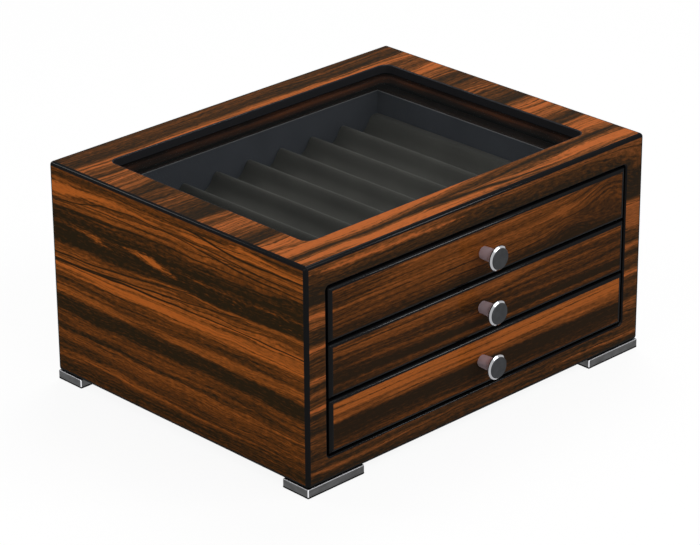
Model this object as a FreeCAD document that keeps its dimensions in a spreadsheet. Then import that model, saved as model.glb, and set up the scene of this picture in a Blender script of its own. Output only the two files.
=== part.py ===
"""Pen collector chest: a veneered case with a glazed top and three drawers of pen trays.

Millimetres. +X is the chest's right, -Y its front and +Z up. The origin is the middle of the
bounding box on the surface that the feet stand on.
"""
import FreeCAD, Part
import math
import os
import re

import Sketcher
from FreeCAD import Rotation, Vector

OVERCUT = 1.0  # how far a cutting solid reaches past the face that it enters
NEAR = 0.01  # how close an edge must lie to a plane to count as lying in it

# Every driving size: name, value, what it measures.
SIZES = {
    # Case
    "case_width": (360, "outside of the left side to outside of the right side"),
    "case_depth": (281, "front face to back face"),
    "case_height": (175, "underside to top, without the feet"),
    "case_edge": (3, "radius of the twelve lacquered outer edges"),
    "side_board": (14, "thickness of the two sides"),
    "top_board": (16, "thickness of the top"),
    "bottom_board": (12, "thickness of the bottom"),
    "back_board": (12, "thickness of the back"),
    "frame_board": (16, "thickness of the front frame"),
    "stile": (20, "width of the front frame beside the drawers"),
    "top_rail": (20.8, "height of the front frame above the drawers"),
    "bottom_rail": (19.4, "height of the front frame below the drawers"),
    "frame_edge": (1.8, "rounding of the frame around the drawers"),
    "frame_corner": (3, "corner radius of the frame's opening"),
    # Window in the top
    "window_margin": (32.5, "outer face to the window, on all four sides"),
    "window_corner": (7.5, "corner radius of the window"),
    "window_edge": (1, "rounding of the window's upper edge"),
    "glass_lip": (7, "top face down to the glass"),
    "glass_ledge": (5, "width of the rebate that takes the glass"),
    "glass_pane": (3, "thickness of the glass"),
    "glass_play": (0.4, "gap around the glass and around its retainer"),
    "retainer_ledge": (14, "window to the outside of the retainer's rebate"),
    # Feet
    "foot_length": (57, "along the front of the chest"),
    "foot_width": (27, "along its depth"),
    "foot_height": (7.6, "metal block alone"),
    "foot_edge": (0.8, "rounding of the metal block"),
    "pad_thickness": (0.6, "felt pad under the foot"),
    "pad_inset": (1.2, "pad edge inside the foot's edge"),
    "foot_screw_spacing": (32, "between the two screws of a foot"),
    # Drawer fronts and boxes
    "drawer_gap": (1.6, "around each drawer front"),
    "front_proud": (0.8, "drawer front before the frame's face"),
    "drawer_board": (15, "thickness of a drawer front"),
    "drawer_edge": (3, "rounding of a drawer front's face"),
    "box_inset": (2, "side of the box inside the end of its front"),
    "box_side": (11, "thickness of the box's sides"),
    "box_back": (10, "thickness of the box's back"),
    "box_under": (1.5, "lower edge of the front to lower edge of the sides"),
    "box_drop": (0.4, "upper edge of the front down to the box's rim"),
    "rim_edge": (1.2, "rounding of the box's rim"),
    "floor_board": (4, "thickness of the drawer's floor"),
    "floor_set": (1.5, "lower edge of the sides up to the floor"),
    "floor_slot": (4, "depth of the slots that hold the floor"),
    "slot_play": (0.2, "gap around the floor in its slots"),
    # Runners and stops
    "groove_depth": (5, "runner groove in a drawer side"),
    "tongue_height": (8, "tongue of a runner"),
    "runner_height": (20, "foot of a runner against the case side"),
    "runner_play": (0.5, "tongue tip and spacer to the drawer side"),
    "slide_play": (0.3, "above and below the tongue in its groove"),
    "bumper_radius": (5, "felt bumper behind a drawer"),
    "bumper_thickness": (2.5, "felt bumper behind a drawer"),
    "bumper_play": (0.3, "closed drawer to its bumpers"),
    "bumper_inset": (25, "inside of the drawer side to the bumper's middle"),
    # Pen tray
    "lining_thickness": (1, "covered card around the inside of a drawer"),
    "tray_play": (0.3, "tray to the lining"),
    "tray_base": (2.2, "under the bottom of a pen groove"),
    "pen_radius": (14, "radius of a pen groove"),
    "pen_depth": (13, "depth of a pen groove"),
    "pen_pitch": (34.5, "between two pen grooves"),
    "tray_land": (6, "least flat strip beside the outer pen grooves"),
    "crest_edge": (2, "rounding of the ridges between the grooves"),
    # Knobs
    "knob_base": (4.8, "radius at the drawer front"),
    "knob_neck": (5.2, "radius where the stem starts to flare"),
    "knob_head": (9.8, "radius of the rim"),
    "knob_length": (17.6, "drawer front to the knob's face"),
    "knob_stem": (6.6, "drawer front to the start of the flare"),
    "knob_flare": (9.3, "radius of the flare's hollow curve"),
    "knob_rim": (0.9, "width of the straight rim"),
    "knob_bevel": (1.8, "bevel between the rim and the face"),
    "knob_bite": (8, "thread of the knob's screw in the knob"),
    "bolt_radius": (2, "shank of the knob's screw"),
    "bolt_head_radius": (3.8, "head of the knob's screw"),
    "bolt_head_height": (2.6, "head of the knob's screw"),
    "counterbore_radius": (4.6, "seat of that head in the drawer front"),
    "counterbore_depth": (3.2, "seat of that head in the drawer front"),
    # Wood screws
    "screw_radius": (1.5, "shank of a wood screw"),
    "screw_head_radius": (2.8, "countersunk head"),
    "screw_head_depth": (1.6, "countersunk head"),
    "screw_play": (0.1, "around every screw in its hole"),
    "retainer_bite": (7, "retainer screw in the top"),
    "runner_bite": (9, "runner screw in the case side"),
    "foot_bite": (9, "foot screw in the bottom"),
    "screw_inset": (20, "retainer screw from the window's corner"),
    "runner_screw_inset": (35, "runner screw from the runner's end"),
}

DRAWERS = ("bottom", "middle", "top")
SIDES = {"left": -1, "right": 1}
ENDS = {"front": -1, "back": 1}

# Sizes that follow from the driving ones. Heights named *_up are above a drawer front's lower edge.
LAYOUT = {
    "knob_reach": "knob_length + front_proud",
    "front_y": "(knob_reach - case_depth) / 2",
    "back_y": "front_y + case_depth",
    "base_z": "pad_thickness + foot_height",
    "top_z": "base_z + case_height",
    "side_x": "case_width / 2",
    "inner_x": "side_x - side_board",
    "inner_front_y": "front_y + frame_board",
    "inner_back_y": "back_y - back_board",
    "inner_low_z": "base_z + bottom_board",
    "inner_high_z": "top_z - top_board",
    "opening_x": "side_x - stile",
    "opening_low_z": "base_z + bottom_rail",
    "opening_high_z": "top_z - top_rail",
    "window_x": "side_x - window_margin",
    "window_front_y": "front_y + window_margin",
    "window_back_y": "back_y - window_margin",
    "glass_top_z": "top_z - glass_lip",
    "glass_low_z": "glass_top_z - glass_pane",
    "retainer_thickness": "glass_low_z - inner_high_z",
    "front_x": "opening_x - drawer_gap",
    "opening_height": "opening_high_z - opening_low_z",
    "front_height": f"(opening_height - {len(DRAWERS) + 1} * drawer_gap) / {len(DRAWERS)}",
    "drawer_pitch": "front_height + drawer_gap",
    "front_face_y": "front_y - front_proud",
    "box_front_y": "front_face_y + drawer_board",
    "box_back_y": "inner_back_y - bumper_thickness - bumper_play",
    "box_x": "front_x - box_inset",
    "box_inner_x": "box_x - box_side",
    "box_inner_back_y": "box_back_y - box_back",
    "box_height": "front_height - box_under - box_drop",
    "floor_up": "box_under + floor_set",
    "floor_top_up": "floor_up + floor_board",
    "rim_up": "box_under + box_height",
    "runner_up": "box_under + box_height / 2",
    "runner_depth": "inner_x - box_x - runner_play",
    "lining_x": "box_inner_x - lining_thickness",
    "tray_x": "lining_x - tray_play",
    "tray_front_y": "box_front_y + lining_thickness + tray_play",
    "tray_back_y": "box_inner_back_y - lining_thickness - tray_play",
    "tray_height": "tray_base + pen_depth",
    "pen_axis_up": "floor_top_up + tray_base + pen_radius",
    "knob_up": "front_height / 2",
}

os.makedirs("parts", exist_ok=True)
doc = FreeCAD.newDocument("pen_collector_chest")
sheet = doc.addObject("Spreadsheet::Sheet", "Sizes")
for row, (name, (size, meaning)) in enumerate(SIZES.items(), start=1):
    sheet.set(f"A{row}", str(size))
    sheet.setAlias(f"A{row}", name)
    sheet.set(f"B{row}", meaning)
doc.recompute()


def link(expression):
    """Point every size that an expression names at its cell or at its worked-out value."""

    def owner(match):
        word = match.group(0)
        if word in SIZES:
            return "Sizes." + word
        if word in LAYOUT:
            return "Layout." + word
        return word

    return re.sub(r"[a-z_]+", owner, expression)


layout = doc.addObject("App::VarSet", "Layout")
for name in LAYOUT:
    layout.addProperty("App::PropertyFloat", name)
for name, formula in LAYOUT.items():
    layout.setExpression(name, link(formula))
doc.recompute()


def number(expression):
    """The value of an expression as it stands now."""
    return float(layout.evalExpression(link(expression)))


def bind(item, formulas):
    """Tie properties of an object to the sizes."""
    for prop, formula in formulas.items():
        item.setExpression(prop, link(formula))
    return item


def place(item, x, y, z, rotation=Rotation()):
    """Set an object's rotation and tie its position to the sizes."""
    item.Placement = FreeCAD.Placement(Vector(), rotation)
    return bind(item, {"Placement.Base.x": x, "Placement.Base.y": y, "Placement.Base.z": z})


def block(name, x_range, y_range, z_range):
    """A rectangular block between two expressions along each axis."""
    item = doc.addObject("Part::Box", name)
    for prop, (low, high) in zip(("Length", "Width", "Height"), (x_range, y_range, z_range)):
        item.setExpression(prop, link(f"({high}) - ({low})"))
    return place(item, x_range[0], y_range[0], z_range[0])


def rod(name, radius, length, x, y, z, rotation=Rotation()):
    """A cylinder that starts at a point and runs along its own turned Z axis."""
    item = doc.addObject("Part::Cylinder", name)
    bind(item, {"Radius": radius, "Height": length})
    return place(item, x, y, z, rotation)


def joined(name, pieces):
    """Several solids fused into one."""
    item = doc.addObject("Part::MultiFuse", name)
    item.Shapes = pieces
    item.Refine = True
    return item


def cut(name, base, tools):
    """A solid with one or more others taken out of it."""
    item = doc.addObject("Part::Cut", name)
    item.Base = base
    item.Tool = tools[0] if len(tools) == 1 else joined(name + "_cutter", tools)
    item.Refine = True
    return item


def common(name, base, tool):
    """What two solids share."""
    item = doc.addObject("Part::Common", name)
    item.Base = base
    item.Tool = tool
    return item


def group(name, pieces):
    """Identical separate solids that share one node."""
    item = doc.addObject("Part::Compound", name)
    item.Links = pieces
    return item


def rounded(name, base, size, chosen):
    """Fillet the edges of an object that a test on their bounding box picks out."""
    doc.recompute()
    item = doc.addObject("Part::Fillet", name)
    item.Base = base
    radius = number(size)
    picked = [i for i, edge in enumerate(base.Shape.Edges, start=1) if chosen(edge.BoundBox)]
    item.Edges = [(i, radius, radius) for i in picked]
    return item


def flat_in(low, high, level):
    """Whether a bounding box's extent along one axis lies in a plane."""
    return abs(low - level) < NEAR and abs(high - level) < NEAR


def origin_plane(body, role):
    """One of a body's own origin planes."""
    return next(item for item in body.Origin.OriginFeatures if item.Role == role)


def hold(sketch, constrained, formula):
    """Add a constraint with a size and tie it to the sheet."""
    index = sketch.addConstraint(Sketcher.Constraint(*constrained, number(formula)))
    sketch.setExpression(f"Constraints[{index}]", link(formula))


def pin(sketch, side, end, kind, axis, formula):
    """Hold one coordinate of a sketch corner at a size, or on the axis where it is zero."""
    if formula == "0":
        sketch.addConstraint(Sketcher.Constraint("PointOnObject", side, end, axis))
    else:
        hold(sketch, (kind, -1, 1, side, end), formula)


def hollow_arc(start, end, radius):
    """The hollow arc between two points: counterclockwise from end to start."""
    chord = end - start
    to_middle = math.sqrt(radius**2 - (chord.Length / 2) ** 2)
    middle = (start + end) / 2 + Vector(chord.y, -chord.x, 0).normalize() * to_middle
    from_end, to_start = ((point - middle) for point in (end, start))
    angles = [math.atan2(spoke.y, spoke.x) for spoke in (from_end, to_start)]
    return Part.ArcOfCircle(Part.Circle(middle, Vector(0, 0, 1), radius), *angles)


def outline(body, role, corners, hollows=()):
    """A closed sketch on an origin plane, with every corner tied to the sizes.

    The side after each corner is straight, unless hollows, a dictionary, names a radius for it.
    """
    hollows = dict(hollows)
    sketch = body.newObject("Sketcher::SketchObject", body.Name + "_sketch")
    sketch.AttachmentSupport = (origin_plane(body, role), [""])
    sketch.MapMode = "FlatFace"
    points = [Vector(number(x), number(y), 0) for x, y in corners]
    first, last = {}, {}
    for side, (start, end) in enumerate(zip(points, points[1:] + points[:1])):
        first[side], last[side] = 1, 2
        if side in hollows:
            sketch.addGeometry(hollow_arc(start, end, number(hollows[side])))
            first[side], last[side] = 2, 1
            hold(sketch, ("Radius", side), hollows[side])
        else:
            sketch.addGeometry(Part.LineSegment(start, end))
    for side in first:
        following = (side + 1) % len(points)
        joint = Sketcher.Constraint("Coincident", side, last[side], following, first[following])
        sketch.addConstraint(joint)
    for side, (x, y) in enumerate(corners):
        pin(sketch, side, first[side], "DistanceX", -2, x)
        pin(sketch, side, first[side], "DistanceY", -1, y)
    return sketch


def extrusion(name, role, corners, length):
    """A body whose outline on an origin plane is padded towards +X, +Y or +Z."""
    body = doc.addObject("PartDesign::Body", name)
    pad = body.newObject("PartDesign::Pad", name + "_pad")
    pad.Profile = outline(body, role, corners)
    pad.setExpression("Length", link(length))
    pad.Reversed = role == "XZ_Plane"
    return body


def soft_block(name, x_range, y_range, z_range, radius, chosen):
    """A rectangular body with a fillet on the edges that a test picks out."""
    width = f"({x_range[1]}) - ({x_range[0]})"
    depth = f"({y_range[1]}) - ({y_range[0]})"
    corners = (("0", "0"), (width, "0"), (width, depth), ("0", depth))
    body = extrusion(name, "XY_Plane", corners, f"({z_range[1]}) - ({z_range[0]})")
    doc.recompute()
    pad = body.Tip
    edges = [f"Edge{i}" for i, edge in enumerate(pad.Shape.Edges, start=1) if chosen(edge.BoundBox)]
    fillet = body.newObject("PartDesign::Fillet", name + "_fillet")
    fillet.Base = (pad, edges)
    fillet.setExpression("Radius", link(radius))
    body.Tip = fillet
    return place(body, x_range[0], y_range[0], z_range[0])


def upright(box):
    """Whether an edge runs along Z."""
    return box.XLength < NEAR and box.YLength < NEAR


def upright_block(name, x_range, y_range, z_range, radius):
    """A block with its four upright edges rounded, such as a pane with round corners."""
    return soft_block(name, x_range, y_range, z_range, radius, upright)


def screw(name, x, y, z, length, rotation=Rotation(), play="0"):
    """A countersunk screw from its head's face along its own Z axis, grown by a play."""
    head = doc.addObject("Part::Cone", name + "_head")
    radii = {"Radius1": f"screw_head_radius + {play}", "Radius2": f"screw_radius + {play}"}
    bind(head, {**radii, "Height": "screw_head_depth"})
    place(head, x, y, z, rotation)
    shank = rod(name + "_shank", f"screw_radius + {play}", f"{length} + {play}", x, y, z, rotation)
    return joined(name, [head, shank])


def screw_holes(name, spots, length, rotation=Rotation()):
    """The holes that screws at these spots need."""
    return [
        screw(f"{name}_hole_{i}", *spot, length, rotation, play="screw_play")
        for i, spot in enumerate(spots, start=1)
    ]


def screws(name, spots, length, rotation=Rotation()):
    """One screw at each spot."""
    return [screw(f"{name}_{i}", *spot, length, rotation) for i, spot in enumerate(spots, start=1)]


def frustum(name, near, far, near_face, far_face, rotation=Rotation()):
    """A board with mitred edges: two rectangles across its own Y axis, joined by slopes."""
    item = doc.addObject("Part::Wedge", name)
    bind(item, {"Ymin": near, "Ymax": far})
    bind(item, dict(zip(("Xmin", "Xmax", "Zmin", "Zmax"), near_face)))
    bind(item, dict(zip(("X2min", "X2max", "Z2min", "Z2max"), far_face)))
    item.Placement = FreeCAD.Placement(Vector(), rotation)
    return item


# Case: six boards, mitred where they meet, so that every joint hides in a rounded edge.

X_AXIS, Y_AXIS, Z_AXIS = Vector(1, 0, 0), Vector(0, 1, 0), Vector(0, 0, 1)

case_blank = soft_block(
    "case_blank",
    ("-side_x", "side_x"),
    ("front_y", "back_y"),
    ("base_z", "top_z"),
    "case_edge",
    lambda box: True,
)


def case_board(name, near, far, near_face, far_face, rotation=Rotation()):
    """One mitred board of the case, with its share of the rounded outer edges."""
    blank = frustum(name + "_blank", near, far, near_face, far_face, rotation)
    return common(name, case_blank, blank)


def front_frame():
    """The board around the drawers, its opening rounded towards the front."""
    outer = ("-side_x", "side_x", "base_z", "top_z")
    inner = ("-inner_x", "inner_x", "inner_low_z", "inner_high_z")
    board = case_board("front_frame_board", "front_y", "inner_front_y", outer, inner)
    doorway = soft_block(
        "front_frame_doorway",
        ("-opening_x", "opening_x"),
        (f"front_y - {OVERCUT}", f"inner_front_y + {OVERCUT}"),
        ("opening_low_z", "opening_high_z"),
        "frame_corner",
        lambda box: box.XLength < NEAR and box.ZLength < NEAR,
    )
    pierced = cut("front_frame_pierced", board, [doorway])
    face = number("front_y")
    reach = number("opening_x") + NEAR
    return rounded(
        "front_frame",
        pierced,
        "frame_edge",
        lambda box: flat_in(box.YMin, box.YMax, face)
        and max(-box.XMin, box.XMax) < reach
        and number("opening_low_z") - NEAR < box.ZMin
        and box.ZMax < number("opening_high_z") + NEAR,
    )


def back_panel():
    """The back board."""
    inner = ("-inner_x", "inner_x", "inner_low_z", "inner_high_z")
    outer = ("-side_x", "side_x", "base_z", "top_z")
    return case_board("back_panel", "inner_back_y", "back_y", inner, outer)


def bottom_panel(holes):
    """The bottom board, with the holes of the foot screws."""
    inner = ("-inner_x", "inner_x", "inner_front_y", "inner_back_y")
    outer = ("-side_x", "side_x", "front_y", "back_y")
    turn = Rotation(X_AXIS, -90)
    board = case_board("bottom_panel_board", "-inner_low_z", "-base_z", inner, outer, turn)
    return cut("bottom_panel", board, holes)


def side_panel(side, holes):
    """One side board, with the holes of its runners' screws."""
    hand = SIDES[side]
    spans = {-1: ("front_y", "back_y"), 1: ("-back_y", "-front_y")}[hand]
    inner_spans = {-1: ("inner_front_y", "inner_back_y"), 1: ("-inner_back_y", "-inner_front_y")}[hand]
    inner = (*inner_spans, "inner_low_z", "inner_high_z")
    outer = (*spans, "base_z", "top_z")
    turn = Rotation(Z_AXIS, -90 * hand)
    board = case_board(f"{side}_side_board", "inner_x", "side_x", inner, outer, turn)
    return cut(f"{side}_side", board, holes)


def window_block(name, margin, low, high):
    """A block as large as the window plus a margin, with the window's round corners."""
    return upright_block(
        name,
        (f"-window_x - ({margin})", f"window_x + {margin}"),
        (f"window_front_y - ({margin})", f"window_back_y + {margin}"),
        (low, high),
        f"window_corner + {margin}",
    )


def top_panel(holes):
    """The top board: window, rebate for the glass and wider rebate for its retainer."""
    inner = ("-inner_x", "inner_x", "-inner_back_y", "-inner_front_y")
    outer = ("-side_x", "side_x", "-back_y", "-front_y")
    board = case_board("top_panel_board", "inner_high_z", "top_z", inner, outer, Rotation(X_AXIS, 90))
    below = f"inner_high_z - {OVERCUT}"
    window = window_block("top_panel_window", "0", below, f"top_z + {OVERCUT}")
    glass_rebate = window_block("top_panel_glass_rebate", "glass_ledge", below, "glass_top_z")
    retainer_rebate = window_block("top_panel_retainer_rebate", "retainer_ledge", below, "glass_low_z")
    pierced = cut("top_panel_pierced", board, [window, glass_rebate, retainer_rebate, *holes])
    face = number("top_z")
    return rounded(
        "top_panel",
        pierced,
        "window_edge",
        lambda box: flat_in(box.ZMin, box.ZMax, face)
        and max(-box.XMin, box.XMax) < number("window_x") + NEAR
        and number("window_front_y") - NEAR < box.YMin
        and box.YMax < number("window_back_y") + NEAR,
    )


def window_glass():
    """The pane, held up against the lip of the top."""
    return window_block("window_glass", "glass_ledge - glass_play", "glass_low_z", "glass_top_z")


def glass_retainer(holes):
    """The wooden frame that holds the pane from below."""
    margin = "retainer_ledge - glass_play"
    blank = window_block("glass_retainer_blank", margin, "inner_high_z", "glass_low_z")
    span = (f"inner_high_z - {OVERCUT}", f"glass_low_z + {OVERCUT}")
    sight = window_block("glass_retainer_sight", "0", *span)
    return cut("glass_retainer", blank, [sight, *holes])


RETAINER_SCREW = "retainer_thickness + retainer_bite"
RUNNER_SCREW = "runner_depth + groove_depth + runner_bite"
FOOT_SCREW = "foot_height + foot_bite"


def retainer_spots():
    """Where the retainer's screws enter, from below, outside the glass."""
    middle = "(glass_ledge + retainer_ledge) / 2"
    rows = (f"window_front_y - {middle}", f"window_back_y + {middle}")
    columns = ("-window_x + screw_inset", "0", "window_x - screw_inset")
    along = [(x, y, "inner_high_z") for y in rows for x in columns]
    depths = ("window_front_y + screw_inset", "window_back_y - screw_inset")
    across = [(f"{hand} * (window_x + {middle})", y, "inner_high_z") for hand in (-1, 1) for y in depths]
    return along + across


# Feet

def foot_middle(side, end):
    """The middle of a foot, flush with the case's corner."""
    x = f"{SIDES[side]} * (side_x - foot_length / 2)"
    y = {"front": "front_y + foot_width / 2", "back": "back_y - foot_width / 2"}[end]
    return x, y


def foot_spots(side, end):
    """Where the two screws of a foot enter, from below."""
    x, y = foot_middle(side, end)
    return [(f"{x} + {way} * foot_screw_spacing / 2", y, "pad_thickness") for way in (-1, 1)]


def foot_block(name, side, end, inset, low, high):
    """A block with a foot's outline, smaller by an inset all round."""
    x, y = foot_middle(side, end)
    half_x = f"(foot_length / 2 - {inset})"
    half_y = f"(foot_width / 2 - {inset})"
    x_range = (f"{x} - {half_x}", f"{x} + {half_x}")
    y_range = (f"{y} - {half_y}", f"{y} + {half_y}")
    return block(name, x_range, y_range, (low, high))


def foot(side, end):
    """One metal foot."""
    name = f"foot_{end}_{side}"
    metal = foot_block(name + "_blank", side, end, "0", "pad_thickness", "base_z")
    softened = rounded(name + "_softened", metal, "foot_edge", lambda box: True)
    return cut(name, softened, screw_holes(name, foot_spots(side, end), FOOT_SCREW))


# Drawers: a front, two sides, a back, a floor, a lining, a pen tray, and a knob with its screw.

def above(level, height):
    """A height above the lower edge of the front of the drawer at a level."""
    return f"opening_low_z + drawer_gap + {level} * drawer_pitch + {height}"


def drawer_floor(name, level, grown):
    """The floor board, or the space that it needs in the boards around it."""
    reach = f"(floor_slot - slot_play + {grown})"
    return block(
        name,
        (f"-box_inner_x - {reach}", f"box_inner_x + {reach}"),
        (f"box_front_y - {reach}", f"box_inner_back_y + {reach}"),
        (above(level, f"floor_up - {grown}"), above(level, f"floor_top_up + {grown}")),
    )


def drawer_front(name, level, slot):
    """The front board with its rounded face, the floor's slot and the knob screw's seat."""
    blank = block(
        name + "_blank",
        ("-front_x", "front_x"),
        ("front_face_y", "box_front_y"),
        (above(level, "0"), above(level, "front_height")),
    )
    face = number("front_face_y")
    faced = rounded(name + "_faced", blank, "drawer_edge", lambda box: flat_in(box.YMin, box.YMax, face))
    axis = above(level, "knob_up")
    inwards = Rotation(X_AXIS, -90)
    radius = "bolt_radius + screw_play"
    length = f"drawer_board + {OVERCUT}"
    hole = rod(name + "_hole", radius, length, "0", f"front_face_y - {OVERCUT}", axis, inwards)
    depth = f"counterbore_depth + {OVERCUT}"
    floor = "box_front_y - counterbore_depth"
    seat = rod(name + "_seat", "counterbore_radius", depth, "0", floor, axis, inwards)
    return cut(name, faced, [slot, hole, seat])


def drawer_side(name, level, side, slot):
    """A side board with a groove for the runner outside and the floor's slot inside."""
    hand = SIDES[side]
    outer, inner = f"{hand} * box_x", f"{hand} * box_inner_x"
    across = (outer, inner) if hand < 0 else (inner, outer)
    board = block(
        name + "_blank",
        across,
        ("box_front_y", "box_back_y"),
        (above(level, "box_under"), above(level, "rim_up")),
    )
    rim = number(above(level, "rim_up"))
    eased = rounded(
        name + "_eased",
        board,
        "rim_edge",
        lambda box: flat_in(box.ZMin, box.ZMax, rim) and box.XLength < NEAR,
    )
    deep = (f"{hand} * (box_x + {OVERCUT})", f"{hand} * (box_x - groove_depth)")
    groove = block(
        name + "_groove",
        deep if hand < 0 else deep[::-1],
        (f"box_front_y - {OVERCUT}", f"box_back_y + {OVERCUT}"),
        (
            above(level, "runner_up - tongue_height / 2 - slide_play"),
            above(level, "runner_up + tongue_height / 2 + slide_play"),
        ),
    )
    return cut(name, eased, [groove, slot])


def drawer_back(name, level, slot):
    """The back board between the sides."""
    board = block(
        name + "_blank",
        ("-box_inner_x", "box_inner_x"),
        ("box_inner_back_y", "box_back_y"),
        (above(level, "box_under"), above(level, "rim_up")),
    )
    rim = number(above(level, "rim_up"))
    eased = rounded(
        name + "_eased",
        board,
        "rim_edge",
        lambda box: flat_in(box.ZMin, box.ZMax, rim) and box.YLength < NEAR,
    )
    return cut(name, eased, [slot])


def drawer_lining(name, level):
    """The covered card around the inside of the box, up to the start of the rim's rounding."""
    span = (above(level, "floor_top_up"), above(level, "rim_up - rim_edge"))
    width, depth = ("-box_inner_x", "box_inner_x"), ("box_front_y", "box_inner_back_y")
    card = block(name + "_card", width, depth, span)
    room = block(
        name + "_room",
        ("-lining_x", "lining_x"),
        ("box_front_y + lining_thickness", "box_inner_back_y - lining_thickness"),
        (above(level, f"floor_top_up - {OVERCUT}"), above(level, f"rim_up + {OVERCUT}")),
    )
    return cut(name, card, [room])


def drawer_tray(name, level):
    """The pen tray: round grooves from front to back, with rounded ridges between them."""
    crest = above(level, "floor_top_up + tray_height")
    pad = block(
        name + "_pad",
        ("-tray_x", "tray_x"),
        ("tray_front_y", "tray_back_y"),
        (above(level, "floor_top_up"), crest),
    )
    room = 2 * (number("tray_x") - number("tray_land") - number("pen_radius"))
    count = int(room // number("pen_pitch")) + 1
    grooves = [
        rod(
            f"{name}_groove_{i + 1}",
            "pen_radius",
            f"tray_back_y - tray_front_y + {2 * OVERCUT}",
            f"{i - (count - 1) / 2} * pen_pitch",
            f"tray_front_y - {OVERCUT}",
            above(level, "pen_axis_up"),
            Rotation(X_AXIS, -90),
        )
        for i in range(count)
    ]
    grooved = cut(name + "_grooved", pad, grooves)
    height = number(crest)
    reach = number("tray_x") - NEAR
    return rounded(
        name,
        grooved,
        "crest_edge",
        lambda box: flat_in(box.ZMin, box.ZMax, height) and box.XLength < NEAR and abs(box.XMin) < reach,
    )


def knob(name, level):
    """A flared metal knob with a bevelled face and a blind threaded hole."""
    rim_start = "knob_length - knob_bevel - knob_rim"
    bore = "bolt_radius + screw_play"
    depth = "knob_bite + screw_play"
    corners = (
        (bore, "0"),
        ("knob_base", "0"),
        ("knob_neck", "knob_stem"),
        ("knob_head", rim_start),
        ("knob_head", "knob_length - knob_bevel"),
        ("knob_head - knob_bevel", "knob_length"),
        ("0", "knob_length"),
        ("0", depth),
        (bore, depth),
    )
    flare = corners.index(("knob_neck", "knob_stem"))
    body = doc.addObject("PartDesign::Body", name)
    turned = body.newObject("PartDesign::Revolution", name + "_turned")
    sketch = outline(body, "XY_Plane", corners, hollows={flare: "knob_flare"})
    turned.Profile = sketch
    turned.ReferenceAxis = (sketch, ["V_Axis"])
    body.Tip = turned
    return place(body, "0", "front_face_y", above(level, "knob_up"), Rotation(Z_AXIS, 180))


def knob_screw(name, level):
    """The screw that holds a knob from inside its drawer front."""
    axis = above(level, "knob_up")
    seat = "box_front_y - counterbore_depth"
    towards_front = Rotation(X_AXIS, 90)
    length = "drawer_board - counterbore_depth + knob_bite"
    shank = rod(name + "_shank", "bolt_radius", length, "0", seat, axis, towards_front)
    top = f"{seat} + bolt_head_height"
    head = rod(name + "_head", "bolt_head_radius", "bolt_head_height", "0", top, axis, towards_front)
    return joined(name, [shank, head])


def drawer(level, position):
    """All the pieces of one drawer."""
    name = f"{position}_drawer"
    slot = drawer_floor(name + "_floor_slot", level, "slot_play")
    return [
        drawer_front(name + "_front", level, slot),
        drawer_side(name + "_left_side", level, "left", slot),
        drawer_side(name + "_right_side", level, "right", slot),
        drawer_back(name + "_back", level, slot),
        drawer_floor(name + "_floor", level, "0"),
        drawer_lining(name + "_lining", level),
        drawer_tray(name + "_pen_tray", level),
        knob(name + "_knob", level),
        knob_screw(name + "_knob_screw", level),
    ]


# Runners and bumpers

def runner_spots(side, level):
    """Where a runner's screws enter, at the tip of its tongue."""
    tip = f"{SIDES[side]} * (box_x - groove_depth + runner_play)"
    ways = ("inner_front_y + runner_screw_inset", "inner_back_y - runner_screw_inset")
    return [(tip, y, above(level, "runner_up")) for y in ways]


def runner(level, position, side):
    """A wooden runner: a foot against the case side and a tongue in the drawer's groove."""
    hand = SIDES[side]
    name = f"{position}_runner_{side}"
    reach = {
        "foot": ("runner_depth", "runner_height"),
        "tongue": ("runner_depth + groove_depth", "tongue_height"),
    }
    pieces = []
    for piece, (depth, height) in reach.items():
        across = (f"{hand} * inner_x", f"{hand} * (inner_x - ({depth}))")
        pieces.append(
            block(
                f"{name}_{piece}",
                across if hand < 0 else across[::-1],
                ("inner_front_y", "inner_back_y"),
                (above(level, f"runner_up - {height} / 2"), above(level, f"runner_up + {height} / 2")),
            )
        )
    turn = Rotation(Y_AXIS, 90 * hand)
    holes = screw_holes(name, runner_spots(side, level), RUNNER_SCREW, turn)
    return cut(name, joined(name + "_solid", pieces), holes)


def runner_screw_set(side, play):
    """The runner screws of one side, or their holes in the case side."""
    turn = Rotation(Y_AXIS, 90 * SIDES[side])
    pieces = []
    for level, position in enumerate(DRAWERS):
        name = f"{position}_{side}_case"
        make = screw_holes if play else screws
        pieces += make(name, runner_spots(side, level), RUNNER_SCREW, turn)
    return pieces


def bumpers():
    """Two felt bumpers behind each drawer, stuck to the back panel."""
    pads = []
    for level, position in enumerate(DRAWERS):
        for side, hand in SIDES.items():
            pads.append(
                rod(
                    f"{position}_{side}_bumper",
                    "bumper_radius",
                    "bumper_thickness",
                    f"{hand} * (box_inner_x - bumper_inset)",
                    "inner_back_y",
                    above(level, "runner_up"),
                    Rotation(X_AXIS, 90),
                )
            )
    return group("drawer_bumpers", pads)


CORNERS = [(side, end) for side in SIDES for end in ENDS]
foot_screw_spots = [spot for corner in CORNERS for spot in foot_spots(*corner)]

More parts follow.
